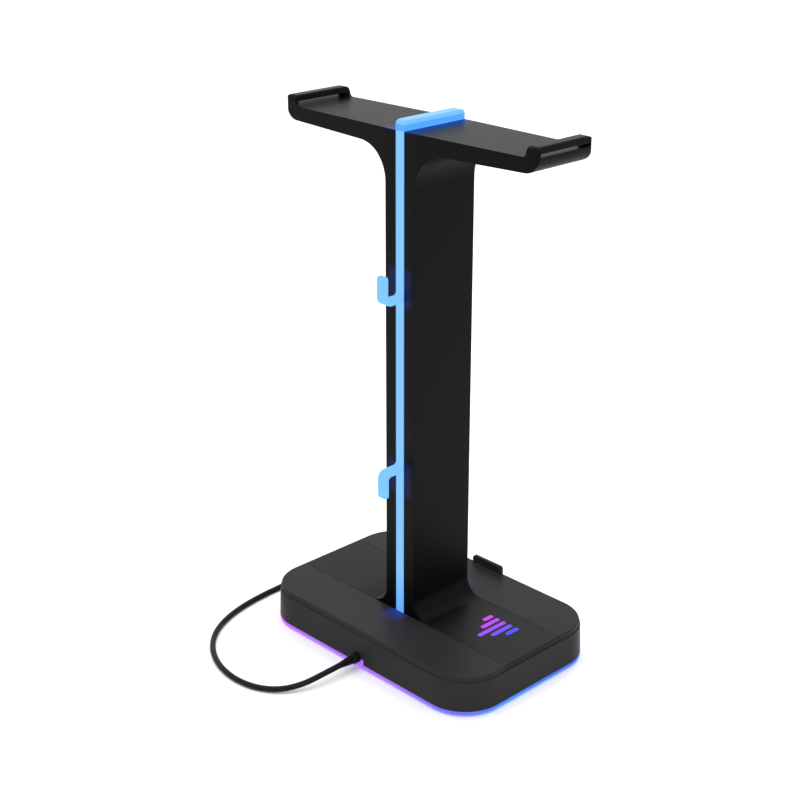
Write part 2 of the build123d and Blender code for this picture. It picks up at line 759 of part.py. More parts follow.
with BuildPart() as mode_button:
    with BuildSketch(Plane.XZ.offset(-button_face_y)):
        with Locations((0, button_z)):
            SlotOverall(button_length, button_height)
    extrude(amount=button_face_y - button_flange_y)
    fillet(mode_button.faces().sort_by(Axis.Y)[0].edges(), 0.5)
    with BuildSketch(Plane.XZ.offset(-button_flange_y)):
        with Locations((0, button_z)):
            SlotOverall(button_length + 3, button_height + 2.4)
    extrude(amount=button_flange_y - button_back_y)
    with BuildSketch(Plane.XZ.offset(-button_back_y)):
        with Locations((0, button_z)):
            Circle(plunger_radius)
    extrude(amount=button_back_y - stem_end_y)
save(mode_button, "mode_button")

with BuildPart() as tact_plunger:
    with BuildSketch(Plane.XZ.offset(-stem_end_y)):
        with Locations((0, button_z)):
            Circle(plunger_radius)
    extrude(amount=stem_end_y - tact_front_y - 1.0)
save(tact_plunger, "tact_plunger")

with BuildPart() as tact_switch:
    with BuildSketch(Plane.XZ.offset(-tact_front_y)):
        with Locations((0, button_z)):
            Rectangle(tact_size, tact_size)
    extrude(amount=tact_front_y - button_board_y + button_board_thickness / 2)
    with BuildSketch(Plane.XZ.offset(-tact_front_y)):
        with Locations((0, button_z)):
            Circle(plunger_radius + 2 * tact_gap)
    extrude(amount=-1.0 - button_travel - tact_gap, mode=Mode.SUBTRACT)
save(tact_switch, "tact_switch")

with BuildPart() as button_board:
    with BuildSketch(Plane.XZ.offset(-button_board_y + button_board_thickness / 2)):
        with Locations((0, (board_z + pad_under) / 2)):
            Rectangle(2 * button_board_half, pad_under - board_z - 0.4)
    extrude(amount=-button_board_thickness)
save(button_board, "button_board")


# ---------------------------------------------------------------- leads and cords
def arc_radii(points):
    """Radius of the arc at each inner point of a route: as large as its two runs allow."""
    radii = []
    for before, here, after in zip(points, points[1:], points[2:]):
        arriving = Vector(*here) - Vector(*before)
        leaving = Vector(*after) - Vector(*here)
        half_turn = math.radians(arriving.get_angle(leaving)) / 2
        radii.append(0.45 * min(arriving.length, leaving.length) / math.tan(half_turn))
    return radii


def cord(points, radius):
    """A round cord along straight runs that are joined by tangent arcs."""
    with BuildPart() as tube:
        with BuildLine():
            path = FilletPolyline(*points, radius=arc_radii(points))
        with BuildSketch(Plane(origin=path @ 0, z_dir=path % 0)):
            Circle(radius)
        sweep()
    share = tube.part.volume / (math.pi * radius ** 2 * path.length)
    print("cord", round(path.length, 1), "mm, volume share", round(share, 4),
          "radii", [round(r, 1) for r in arc_radii(points)])
    return tube


header_face_y = header_front_y - header_size[1] / 2
column_lead = cord([(0, 0, carrier_bottom_z), (0, 0, header_mid_z), (0, header_face_y, header_mid_z)], 1.4)
save(column_lead, "column_lead")

button_lead_x = 5.5
button_lead_z = header_mid_z + 1
button_lead = cord([
    (button_lead_x, button_board_y + button_board_thickness / 2, button_lead_z),
    (button_lead_x, button_board_y + 8, button_lead_z),
    (button_header_x, ballast_y + 6, button_lead_z),
    (button_header_x, header_face_y, button_lead_z),
], 1.0)
save(button_lead, "button_lead")

mark_lead = cord([
    (mark_x + 8, mark_middle_y + 3, mark_board_z),
    (mark_x + 8, mark_middle_y + 3, header_mid_z),
    (mark_header_x, mark_middle_y + 3, header_mid_z),
    (mark_header_x, header_face_y, header_mid_z),
], 1.0)
save(mark_lead, "mark_lead")

ring_board_inner_y = rear_y - ring_board_inset - ring_board_width / 2
ring_board_middle_z = ring_board_z + ring_board_thickness / 2
header_back_y = header_rear_y + header_size[1] / 2
ring_lead = cord([
    (ring_header_x, ring_board_inner_y, ring_board_middle_z),
    (ring_header_x, ring_board_inner_y - 4, ring_board_middle_z),
    (ring_header_x, header_back_y + 4, header_mid_z),
    (ring_header_x, header_back_y, header_mid_z),
], 0.5)
save(ring_lead, "ring_lead")

# strain relief moulded on the cord: inner flange, round collar, ribbed taper
relief_flange_y = rear_y - ring_flange - 0.15
relief_inner_y = relief_flange_y - 1.4
collar_end_y = rear_y + collar_length
relief_end_y = collar_end_y + relief_length
relief_ribs = 4
rib_step = relief_length / relief_ribs

with BuildPart() as strain_relief:
    with BuildSketch(Plane.XZ.offset(-relief_inner_y)):
        with Locations((exit_x, exit_z)):
            Circle(4.2)
        with Locations((exit_x, cover_top + 0.2)):
            Rectangle(10, 10, align=(Align.CENTER, Align.MAX), mode=Mode.SUBTRACT)
    extrude(amount=relief_inner_y - relief_flange_y)
    # half profile of the collar and the taper, turned about the cord's axis
    with BuildSketch(Plane.YZ.offset(exit_x)):
        with Locations((relief_flange_y, exit_z)):
            Rectangle(collar_end_y - relief_flange_y, collar_radius, align=(Align.MIN, Align.MIN))
        for i in range(relief_ribs):
            root = collar_radius - 0.55 - 0.22 * i
            with Locations((collar_end_y + i * rib_step, exit_z)):
                Rectangle(rib_step, root - 0.25, align=(Align.MIN, Align.MIN))
            with Locations((collar_end_y + (i + 0.5) * rib_step, exit_z)):
                Rectangle(rib_step / 2, root, align=(Align.MIN, Align.MIN))
    revolve(axis=Axis((exit_x, 0, exit_z), (0, 1, 0)))
    collar_rim = strain_relief.edges().filter_by(GeomType.CIRCLE).filter_by_position(
        Axis.Y, collar_end_y - 0.01, collar_end_y + 0.01).sort_by(SortBy.RADIUS)[-1]
    chamfer(collar_rim, 0.5)
save(strain_relief, "strain_relief")

inner_cord = cord([
    (exit_x, relief_inner_y, exit_z),
    (exit_x, relief_inner_y - 4, exit_z),
    (exit_x, header_back_y + 4, header_mid_z),
    (exit_x, header_back_y, header_mid_z),
], cord_radius)
save(inner_cord, "inner_cord")

# coil of the spare length, on the table in front of the stand's far corner
coil_x = side_x - 2.25
coil_y = front_y - 24.35
coil_lanes = (3, 4)                  # turns side by side, and on top of each other
coil_radius = 17.25                  # middle of the turns
coil_half_width = coil_lanes[0] * cord_radius
coil_outer_turn = coil_radius + coil_half_width - cord_radius
coil_height = coil_lanes[1] * 2 * cord_radius
coil_away = Vector(coil_x, coil_y).normalized()
coil_across = Vector(coil_away.Y, -coil_away.X)
plug_thickness = 8.0


def beside_coil(away, across):
    """A point at the plug's height, by its distance from the coil's middle."""
    place = Vector(coil_x, coil_y) + coil_away * away + coil_across * across
    return (place.X, place.Y, plug_thickness / 2)


cord_route = [
    (exit_x, relief_end_y, exit_z),
    (exit_x + 0.2, rear_y + 22.7, 5.4),
    (exit_x + 2.5, rear_y + 34.2, 3.4),
    (exit_x + 8.5, rear_y + 44.2, 1.9),
    (exit_x + 19.0, rear_y + 51.2, cord_radius),
    (exit_x + 33.0, rear_y + 53.7, cord_radius),
    (side_x - 25.7, rear_y + 51.2, cord_radius),
    (side_x - 9.7, rear_y + 43.2, cord_radius),
    (side_x + 3.3, rear_y + 29.7, cord_radius),
    (side_x + 11.3, rear_y + 11.2, cord_radius),
    (side_x + 14.7, rear_y - 9.8, cord_radius),
    (side_x + 15.2, rear_y - 34.8, cord_radius),
    (side_x + 16.8, front_y + 37.8, cord_radius),
    (side_x + 16.9, front_y + 11.8, cord_radius),
    (side_x + 18.2, front_y - 8.3, cord_radius),
    (coil_x + coil_outer_turn, coil_y, cord_radius),
]
tail_route = [
    beside_coil(coil_outer_turn, 0),
    beside_coil(coil_outer_turn + 1.1, 6.3),
    beside_coil(coil_outer_turn + 5.4, 11.4),
    beside_coil(coil_outer_turn + 11.8, 13.7),
    beside_coil(coil_outer_turn + 18.2, 13.1),
]
usb_cord = cord(cord_route, cord_radius)
save(usb_cord, "usb_cord")
usb_cord_tail = cord(tail_route, cord_radius)
save(usb_cord_tail, "usb_cord_tail")

with BuildPart() as usb_cord_coil:
    with BuildSketch(Plane.XZ.offset(-coil_y)):
        with Locations((coil_x + coil_radius, coil_height / 2)):
            RectangleRounded(2 * coil_half_width, coil_height, cord_radius)
    revolve(axis=Axis((coil_x, coil_y, 0), (0, 0, 1)))
save(usb_cord_coil, "usb_cord_coil")

# hook-and-loop tie round the bundle, on the side nearest the stand
tie_plane = Plane(origin=(coil_x, coil_y, 0), x_dir=-coil_away, z_dir=-coil_across)
with BuildPart() as cord_tie:
    with BuildSketch(tie_plane):
        with Locations((coil_radius, (coil_height + 0.8) / 2)):
            RectangleRounded(2 * coil_half_width + 1.6, coil_height + 0.8, cord_radius + 0.6)
            RectangleRounded(2 * coil_half_width - 0.4, coil_height - 0.8, cord_radius, mode=Mode.SUBTRACT)
    extrude(amount=4.0, both=True)
save(cord_tie, "cord_tie")

# plug at the end of the cord
plug_relief_length = 8.0
plug_body_length = 22.0
plug_width = 15.5
shell_length = 12.0
shell_width = 12.0
shell_thickness = 4.5
shell_sheet = 0.35
plug_start = Vector(*tail_route[-1])
plug_way = (plug_start - Vector(*tail_route[-2])).normalized()


def plug_plane(distance):
    """The plane across the plug, this far from the cord's end, with its width level."""
    return Plane(origin=plug_start + plug_way * distance, x_dir=Vector(0, 0, 1).cross(plug_way),
                 z_dir=plug_way)


with BuildPart() as usb_plug_body:
    with BuildSketch(plug_plane(0)):
        Circle(cord_radius + 0.5)
    with BuildSketch(plug_plane(plug_relief_length)):
        Circle(cord_radius + 1.4)
    loft()
    with BuildSketch(plug_plane(plug_relief_length)):
        RectangleRounded(plug_width, plug_thickness, 2.5)
    extrude(amount=plug_body_length)
    fillet(usb_plug_body.faces().filter_by(lambda f: f.area > plug_width * 5).edges()
           .filter_by(GeomType.LINE).filter_by(Axis(tuple(plug_start), tuple(plug_way)), reverse=True),
           0.8)
save(usb_plug_body, "usb_plug_body")

with BuildPart() as usb_plug_shell:
    with BuildSketch(plug_plane(plug_relief_length + plug_body_length)):
        RectangleRounded(shell_width, shell_thickness, 0.6)
        RectangleRounded(shell_width - 2 * shell_sheet, shell_thickness - 2 * shell_sheet, 0.3,
                         mode=Mode.SUBTRACT)
    extrude(amount=shell_length)
save(usb_plug_shell, "usb_plug_shell")

with BuildPart() as usb_plug_tongue:
    with BuildSketch(plug_plane(plug_relief_length + plug_body_length)):
        with Locations((0, shell_thickness / 2 - shell_sheet - 0.9)):
            Rectangle(shell_width - 2 * shell_sheet - 0.2, 1.7)
    extrude(amount=shell_length - 0.5)
save(usb_plug_tongue, "usb_plug_tongue")

route_length = sum((Vector(*b) - Vector(*a)).length for a, b in zip(cord_route, cord_route[1:]))
tail_length = sum((Vector(*b) - Vector(*a)).length for a, b in zip(tail_route, tail_route[1:]))
turns = (cord_length - route_length - tail_length) / (2 * math.pi * coil_radius)
print("coil turns", round(turns, 2), "of", coil_lanes[0] * coil_lanes[1])
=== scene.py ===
import logging
import math
from dataclasses import dataclass, field
from enum import Enum
from typing import Sequence, Union

import bpy
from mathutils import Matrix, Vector


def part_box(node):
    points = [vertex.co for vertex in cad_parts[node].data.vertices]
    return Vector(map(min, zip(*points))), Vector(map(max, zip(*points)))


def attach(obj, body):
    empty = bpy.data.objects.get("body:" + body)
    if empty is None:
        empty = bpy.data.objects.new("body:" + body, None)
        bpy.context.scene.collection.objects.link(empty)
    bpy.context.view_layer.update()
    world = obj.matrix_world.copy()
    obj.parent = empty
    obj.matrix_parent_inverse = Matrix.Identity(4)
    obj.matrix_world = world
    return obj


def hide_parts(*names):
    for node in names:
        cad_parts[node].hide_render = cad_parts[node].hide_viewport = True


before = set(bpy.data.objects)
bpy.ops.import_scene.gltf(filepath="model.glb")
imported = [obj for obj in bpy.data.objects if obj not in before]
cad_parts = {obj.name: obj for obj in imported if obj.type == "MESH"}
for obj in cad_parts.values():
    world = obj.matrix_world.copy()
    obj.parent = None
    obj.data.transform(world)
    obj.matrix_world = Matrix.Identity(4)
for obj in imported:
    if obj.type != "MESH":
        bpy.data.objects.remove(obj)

# A headphone stand: black moulded base and post, lit guide, lit rim, lit mark and a power cord.

LOG = logging.getLogger("headphone_stand")
MM = 0.001
Colour = tuple[float, float, float]
Number = Union[float, int, "Value"]

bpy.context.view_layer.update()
DARK: Colour = (0.0, 0.0, 0.0)
HALF_DEPTH = 20.0 * MM       # from the middle of the post to its front and rear faces
RIB_RISE = 4.9 * MM          # how far the lit rib stands over the tray
UPPER_HOOK = (190.0 * MM, 204.0 * MM)
LOWER_HOOK = (91.0 * MM, 104.0 * MM)


# ---------------------------------------------------------------- shader building
class Op(Enum):
    """Arithmetic that a shader value can take part in."""

    ADD = "ADD"
    SUBTRACT = "SUBTRACT"
    MULTIPLY = "MULTIPLY"
    ABSOLUTE = "ABSOLUTE"


class Value:
    """A shader socket that takes part in Python expressions."""

    def __init__(self, graph: "Graph", socket: bpy.types.NodeSocket) -> None:
        """Wrap a socket.

        Args:
            graph: The material's node graph that the socket belongs to.
            socket: The output socket.
        """
        self.graph = graph
        self.socket = socket

    def __add__(self, other: Number) -> "Value":
        """Return self + other."""
        return self.graph.math(Op.ADD, self, other)

    __radd__ = __add__

    def __sub__(self, other: Number) -> "Value":
        """Return self - other."""
        return self.graph.math(Op.SUBTRACT, self, other)

    def __rsub__(self, other: Number) -> "Value":
        """Return other - self."""
        return self.graph.math(Op.SUBTRACT, other, self)

    def __mul__(self, other: Number) -> "Value":
        """Return self * other."""
        return self.graph.math(Op.MULTIPLY, self, other)

    __rmul__ = __mul__

    def __abs__(self) -> "Value":
        """Return the size of self without its sign."""
        return self.graph.math(Op.ABSOLUTE, self)


class Graph:
    """One material's node graph, built round a Principled shader."""

    def __init__(self, name: str) -> None:
        """Make the material.

        Args:
            name: The material's name.
        """
        self.material = bpy.data.materials.new(name)
        self.material.use_nodes = True
        self.tree = self.material.node_tree
        self.shader = self.tree.nodes["Principled BSDF"]
        coordinates = self.tree.nodes.new("ShaderNodeTexCoord")
        self.place = Value(self, coordinates.outputs["Object"])
        split = self.node("ShaderNodeSeparateXYZ", {}, {"Vector": self.place})
        self.x, self.y, self.z = (Value(self, out) for out in split.outputs)

    def node(self, kind: str, settings: dict, inputs: dict) -> bpy.types.Node:
        """Add a node.

        Args:
            kind: The node's type name.
            settings: Attributes that are set first.
            inputs: Socket names or numbers, with the values or links that go in.

        Returns:
            The new node.
        """
        node = self.tree.nodes.new(kind)
        for key, setting in settings.items():
            setattr(node, key, setting)
        for key, value in inputs.items():
            self.feed(node.inputs[key], value)
        return node

    def feed(self, socket: bpy.types.NodeSocket, value: object) -> None:
        """Link or set one input socket.

        Args:
            socket: The input socket.
            value: A Value to link, or a plain number or tuple.
        """
        if isinstance(value, Value):
            self.tree.links.new(value.socket, socket)
        elif socket.type == "RGBA" and len(value) == 3:
            socket.default_value = (*value, 1.0)
        else:
            socket.default_value = value

    def math(self, operation: Op, *values: Number) -> Value:
        """Add a Math node and return its result."""
        node = self.node("ShaderNodeMath", {"operation": operation.value}, dict(enumerate(values)))
        return Value(self, node.outputs[0])

    def fade(self, value: Value, start: float, end: float) -> Value:
        """Return 0 before start and 1 after end, with a smooth change between them.

        Args:
            value: What is measured.
            start: Where the change begins.
            end: Where it is complete.

        Returns:
            The faded value.
        """
        node = self.node("ShaderNodeMapRange", {"interpolation_type": "SMOOTHSTEP", "clamp": True},
                         {"Value": value, "From Min": start, "From Max": end})
        return Value(self, node.outputs["Result"])

    def band(self, value: Value, start: float, end: float, soft: float) -> Value:
        """Return 1 between start and end and 0 elsewhere, with soft edges outside them.

        Args:
            value: What is measured.
            start: Where the band is first complete.
            end: Where it is last complete.
            soft: Width of each soft edge.

        Returns:
            The band.
        """
        return self.fade(value, start - soft, start) * (1.0 - self.fade(value, end, end + soft))

    def mix(self, share: Number, first: object, second: object, blend: str = "MIX") -> Value:
        """Mix two colours.

        Args:
            share: How much of the second colour shows, 0 to 1.
            first: A colour or a Value.
            second: A colour or a Value.
            blend: The Mix node's blend type.

        Returns:
            The mixed colour.
        """
        node = self.node("ShaderNodeMix", {"data_type": "RGBA", "blend_type": blend}, {})
        self.feed(node.inputs["Factor"], share)
        self.feed(node.inputs["A_Color" if "A_Color" in node.inputs else 6], first)
        self.feed(node.inputs["B_Color" if "B_Color" in node.inputs else 7], second)
        return Value(self, node.outputs[2])

    def noise(self, scale: float, detail: float = 2.0, stretch: Colour = (1.0, 1.0, 1.0)) -> Value:
        """Return 3-D noise in object space.

        Args:
            scale: Cells in a metre.
            detail: Octaves.
            stretch: How much each axis is scaled first.

        Returns:
            The noise, about 0.3 to 0.7.
        """
        mapping = self.node("ShaderNodeMapping", {}, {"Vector": self.place, "Scale": stretch})
        node = self.node("ShaderNodeTexNoise", {}, {"Vector": Value(self, mapping.outputs[0]), "Scale": scale,
                                                    "Detail": detail})
        return Value(self, node.outputs[0])

    def bump(self, height: Value, distance: float, strength: float = 1.0, edge: float = 0.0) -> None:
        """Bump the surface, and soften its edges.

        Args:
            height: The bump's height, 0 to 1.
            distance: What a height of 1 stands for, in metres.
            strength: The bump's strength.
            edge: Radius that sharp edges are softened to, in metres.
        """
        node = self.node("ShaderNodeBump", {}, {"Height": height, "Distance": distance, "Strength": strength})
        if edge > 0:
            bevel = self.node("ShaderNodeBevel", {"samples": 6}, {"Radius": edge})
            self.tree.links.new(bevel.outputs[0], node.inputs["Normal"])
        self.tree.links.new(node.outputs[0], self.shader.inputs["Normal"])

    def set(self, **sockets: object) -> "Graph":
        """Set or link the shader's sockets, named with underscores for spaces."""
        for key, value in sockets.items():
            self.feed(self.shader.inputs[key.replace("_", " ")], value)
        return self


# ---------------------------------------------------------------- finishes
@dataclass(frozen=True)
class MouldedPlastic:
    """Satin black plastic with a fine spark-eroded grain.

    Attributes:
        name: The material's name.
        colour: Linear base colour.
        roughness: Middle of the roughness.
        specular: How strongly it mirrors its surroundings.
        grain: Grain cells in a metre.
        edge: Radius that sharp edges are softened to, in metres.
    """

    name: str
    colour: Colour
    roughness: float = 0.42
    specular: float = 0.08
    grain: float = 2600.0
    edge: float = 0.35 * MM

    def graph(self) -> Graph:
        """Build the grain, cloudiness and soft edges, and return the graph for more."""
        graph = Graph(self.name)
        grain = graph.noise(self.grain, 3.0)
        cloud = graph.noise(38.0, 2.0)
        tint = graph.mix(graph.fade(cloud, 0.35, 0.65), self.colour, tuple(c * 1.1 for c in self.colour))
        graph.set(Base_Color=tint, Roughness=self.roughness + 0.06 * (grain - 0.5) + 0.02 * (cloud - 0.5),
                  Specular_IOR_Level=self.specular)
        graph.bump(grain, 0.012 * MM, 0.35, self.edge)
        return graph

    def build(self) -> bpy.types.Material:
        """Return the plain material."""
        return self.graph().material


@dataclass(frozen=True)
class PlainMoulding:
    """Small moulded or rubber pieces in one colour, with a light grain.

    Attributes:
        name: The material's name.
        colour: Linear base colour.
        roughness: Middle of the roughness.
        grain: Grain cells in a metre.
    """

    name: str
    colour: Colour
    roughness: float = 0.5
    grain: float = 1500.0

    def build(self) -> bpy.types.Material:
        """Return the material."""
        graph = Graph(self.name)
        grain = graph.noise(self.grain, 3.0)
        tint = graph.mix(graph.fade(grain, 0.3, 0.7), self.colour, tuple(c * 1.25 for c in self.colour))
        graph.set(Base_Color=tint, Roughness=self.roughness + 0.12 * (grain - 0.5))
        graph.bump(grain, 0.02 * MM, 0.3, 0.15 * MM)
        return graph.material


@dataclass(frozen=True)
class Metal:
    """Bare or plated metal with fine drawn lines.

    Attributes:
        name: The material's name.
        colour: Linear base colour.
        roughness: Middle of the roughness.
        stretch: How the noise is stretched into lines, on each axis.
    """

    name: str
    colour: Colour
    roughness: float = 0.3
    stretch: Colour = (1.0, 1.0, 12.0)

    def build(self) -> bpy.types.Material:
        """Return the material."""
        graph = Graph(self.name)
        lines = graph.noise(500.0, 3.0, self.stretch)
        tint = graph.mix(graph.fade(lines, 0.3, 0.7), self.colour, tuple(c * 0.86 for c in self.colour))
        graph.set(Base_Color=tint, Metallic=1.0, Roughness=self.roughness + 0.2 * (lines - 0.5))
        graph.bump(lines, 0.01 * MM, 0.3, 0.12 * MM)
        return graph.material


@dataclass(frozen=True)
class PostPlastic(MouldedPlastic):
    """The half shells' black: darkest up the post, greyer on the flat foot as painted top light with painted
    shade towards the post, and a painted blue glow beside the lit guide.

    Attributes:
        foot_colour: Linear base colour of the flat foot, a greyer copy of the black painted as top light.
        tray_glow: Light the rib throws on the tray.
        face_glow: Light the hooks throw on the post's rear face.
    """

    foot_colour: Colour = (0.016, 0.0155, 0.016)
    tray_glow: Colour = (0.002, 0.028, 0.340)
    face_glow: Colour = (0.004, 0.010, 0.055)

    def build(self) -> bpy.types.Material:
        """Return the material."""
        graph = self.graph()
        low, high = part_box("light_guide")
        tray_z = high.z - RIB_RISE
        # Painted light and shade: the flat foot gets a greyer copy of the black as painted top light, fading
        # back to the post's black near the post as painted shade.
        foot = 1.0 - graph.fade(graph.z, low.z + 3.0 * MM, low.z + 8.0 * MM)
        reach = abs(graph.x)
        foot_outside_post_shade = foot * graph.fade(reach, 11.0 * MM, 42.0 * MM)
        graph.set(Base_Color=graph.mix(foot_outside_post_shade, self.colour, self.foot_colour))
        # Painted glow: blue on the tray beside the rib and on the rear face beside the hooks, standing in for
        # the guide's light.
        on_tray = (1.0 - graph.fade(reach, high.x, high.x + 11.5 * MM)) * graph.fade(
            graph.z, tray_z - 0.5 * MM, tray_z)
        near_hooks = graph.band(graph.z, *UPPER_HOOK, 5 * MM) + graph.band(graph.z, *LOWER_HOOK, 5 * MM)
        rear = graph.fade(graph.y, HALF_DEPTH - 0.4 * MM, HALF_DEPTH - 0.1 * MM)
        on_face = near_hooks * rear * (1.0 - graph.fade(reach, 5.5 * MM, 10.0 * MM))
        glow = graph.mix(on_tray, DARK, self.tray_glow)
        glow = graph.mix(on_face, glow, self.face_glow)
        graph.set(Emission_Color=glow, Emission_Strength=1.0)
        return graph.material


@dataclass(frozen=True)
class BasePlastic(MouldedPlastic):
    """The base's softer black, with a painted blue glow where the guide meets it.

    Attributes:
        foot_glow: Light thrown on the base beside the guide's foot.
    """

    foot_glow: Colour = (0.003, 0.024, 0.230)

    def build(self) -> bpy.types.Material:
        """Return the material."""
        graph = self.graph()
        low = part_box("light_guide")[0]
        # Painted glow: a blue patch on the base beside the guide's foot, standing in for the guide's light.
        near = (1.0 - graph.fade(abs(graph.y), HALF_DEPTH, HALF_DEPTH + 14.0 * MM)) * (
            1.0 - graph.fade(abs(graph.x), 1.5 * MM, 8.5 * MM))
        up = graph.fade(graph.z, low.z + 1.0 * MM, low.z + 2.4 * MM)
        graph.set(Emission_Color=graph.mix(near * up, DARK, self.foot_glow), Emission_Strength=1.0)
        return graph.material


@dataclass(frozen=True)
class LitAcrylic:
    """Milky acrylic lit from inside. Subclasses say how its colour runs.

    Attributes:
        name: The material's name.
    """

    name: str

    def colour(self, graph: Graph) -> Value:
        """Return the light's linear colour over the piece."""
        raise NotImplementedError

    def build(self) -> bpy.types.Material:
        """Return the material."""
        graph = Graph(self.name)
        haze = graph.noise(90.0, 2.0)
        glow = graph.mix(0.10 * graph.fade(haze, 0.3, 0.7), self.colour(graph), (0.02, 0.10, 0.50), "SCREEN")
        graph.set(Base_Color=(0.03, 0.04, 0.06), Roughness=0.32 + 0.1 * (haze - 0.5), Specular_IOR_Level=0.03,
                  Emission_Color=glow, Emission_Strength=1.0)
        graph.bump(haze, 0.02 * MM, 0.2, 0.3 * MM)
        return graph.material


@dataclass(frozen=True)
class LitGuide(LitAcrylic):
    """The band up the post, its rib over the tray and its two hooks.

    Attributes:
        strip: Colour up the post.
        foot: Colour at the bottom of the strip.
        crest: Colour along the top of the rib.
        flank: Colour of the rib's sides.
        hooks: Colour of the hooks.
        seam: Colour of the line along each shell.
    """

    name: str = "lit_guide"
    strip: Colour = (0.212, 0.550, 1.0)
    foot: Colour = (0.120, 0.400, 1.0)
    crest: Colour = (0.190, 0.530, 1.0)
    flank: Colour = (0.075, 0.385, 1.0)
    hooks: Colour = (0.190, 0.545, 1.0)
    seam: Colour = (0.060, 0.230, 0.90)

    def colour(self, graph: Graph) -> Value:
        """Return the light's linear colour over the piece."""
        low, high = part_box("light_guide")
        tray_z = high.z - RIB_RISE
        side = abs(graph.x)
        run = graph.mix(graph.fade(graph.z, low.z, low.z + 30.0 * MM), self.foot, self.strip)
        edge = graph.fade(side, high.x - 0.55 * MM, high.x - 0.15 * MM)
        run = graph.mix(edge * 0.8, run, self.seam)
        rib = graph.mix(graph.fade(graph.z, tray_z + 2.5 * MM, tray_z + 3.4 * MM), self.flank, self.crest)
        run = graph.mix(graph.fade(graph.z, tray_z - 0.4 * MM, tray_z + 0.1 * MM), run, rib)
        return graph.mix(graph.fade(graph.y, HALF_DEPTH + 0.05 * MM, HALF_DEPTH + 0.6 * MM), run, self.hooks)


@dataclass(frozen=True)
class LitRim(LitAcrylic):
    """The lit rim round the bottom: purple behind, blue along one side, magenta along the other.

    Attributes:
        purple: Colour along the rear.
        lavender: Colour at the rear corner.
        blue: Colour along the side.
        deep: Colour towards the front.
        magenta: Colour of the far side.
    """

    name: str = "lit_rim"
    purple: Colour = (0.420, 0.130, 0.95)
    lavender: Colour = (0.135, 0.135, 0.95)
    blue: Colour = (0.020, 0.230, 1.0)
    deep: Colour = (0.012, 0.150, 0.900)
    magenta: Colour = (0.640, 0.060, 0.90)

    def colour(self, graph: Graph) -> Value:
        """Return the light's linear colour over the piece."""
        rear = graph.mix(graph.fade(graph.x, -62.0 * MM, -12.0 * MM), self.lavender, self.purple)
        side = graph.mix(graph.fade(graph.y, -20.0 * MM, 15.0 * MM), self.deep, self.blue)
        run = graph.mix(graph.fade(graph.y, 24.0 * MM, 46.0 * MM), side, rear)
        return graph.mix(graph.fade(graph.x, 30.0 * MM, 74.0 * MM), run, self.magenta)


@dataclass(frozen=True)
class LitMark(LitAcrylic):
    """The lit mark's five bars, from magenta to blue.

    Attributes:
        magenta: Colour towards the post.
        blue: Colour away from it.
    """

    name: str = "lit_mark"
    magenta: Colour = (0.660, 0.020, 0.90)
    blue: Colour = (0.040, 0.035, 0.95)

    def colour(self, graph: Graph) -> Value:
        """Return the light's linear colour over the piece."""
        low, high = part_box("mark_diffuser")
        return graph.mix(graph.fade(graph.x, low.x, high.x), self.blue, self.magenta)


@dataclass(frozen=True)
class BoardMask:
    """Circuit board with a solder mask over faint tracks.

    Attributes:
        name: The material's name.
        colour: The mask's linear colour.
        track: Colour over the copper.
    """

    name: str
    colour: Colour
    track: Colour

    def build(self) -> bpy.types.Material:
        """Return the material."""
        graph = Graph(self.name)
        cells = graph.node("ShaderNodeTexVoronoi", {"feature": "DISTANCE_TO_EDGE"},
                           {"Vector": graph.place, "Scale": 420.0})
        lines = 1.0 - graph.fade(Value(graph, cells.outputs["Distance"]), 0.02, 0.07)
        weave = graph.noise(2200.0, 1.0)
        graph.set(Base_Color=graph.mix(lines, self.colour, self.track), Roughness=0.34 + 0.2 * (weave - 0.5))
        graph.bump(lines, 0.03 * MM, 0.5)
        return graph.material


@dataclass(frozen=True)
class LightChip:
    """Light-emitting chip: white case with a pale yellow window that glows.

    Attributes:
        name: The material's name.
        glow: Linear colour of its light.
    """

    name: str
    glow: Colour = (0.16, 0.30, 0.70)

    def build(self) -> bpy.types.Material:
        """Return the material."""
        graph = Graph(self.name)
        fleck = graph.fade(graph.noise(900.0, 2.0), 0.45, 0.60)
        graph.set(Base_Color=graph.mix(fleck, (0.78, 0.77, 0.72), (0.72, 0.62, 0.24)),
                  Roughness=0.4 + 0.1 * fleck, Emission_Color=graph.mix(fleck, (0.02, 0.03, 0.05), self.glow),
                  Emission_Strength=1.0)
        graph.bump(fleck, 0.02 * MM, 0.3)
        return graph.material


@dataclass(frozen=True)
class HookTape:
    """Woven cord tie: fine loops over a dark tape.

    Attributes:
        name: The material's name.
        colour: Linear colour of the loops.
    """

    name: str = "tie_tape"
    colour: Colour = (0.010, 0.010, 0.011)

    def build(self) -> bpy.types.Material:
        """Return the material."""
        graph = Graph(self.name)
        loops = graph.noise(1400.0, 4.0)
        light = tuple(c * 2.6 for c in self.colour)
        graph.set(Base_Color=graph.mix(graph.fade(loops, 0.35, 0.65), self.colour, light),
                  Roughness=0.9 + 0.1 * (loops - 0.5), Specular_IOR_Level=0.1)
        graph.bump(loops, 0.12 * MM, 0.7)
        return graph.material


@dataclass(frozen=True)
class CordJacket:
    """Soft black cord jacket: satin, with the faint long waviness of an extrusion."""

    name: str = "cord_jacket"
    colour: Colour = (0.0034, 0.0034, 0.0038)

    def build(self) -> bpy.types.Material:
        """Return the material."""
        graph = Graph(self.name)
        grain = graph.noise(1800.0, 3.0)
        waves = graph.noise(120.0, 1.0)
        graph.set(Base_Color=graph.mix(graph.fade(waves, 0.35, 0.65), self.colour,
                                       tuple(c * 1.35 for c in self.colour)),
                  Roughness=0.44 + 0.14 * (grain - 0.5), Specular_IOR_Level=0.14)
        graph.bump(grain + 0.6 * waves, 0.02 * MM, 0.35)
        return graph.material


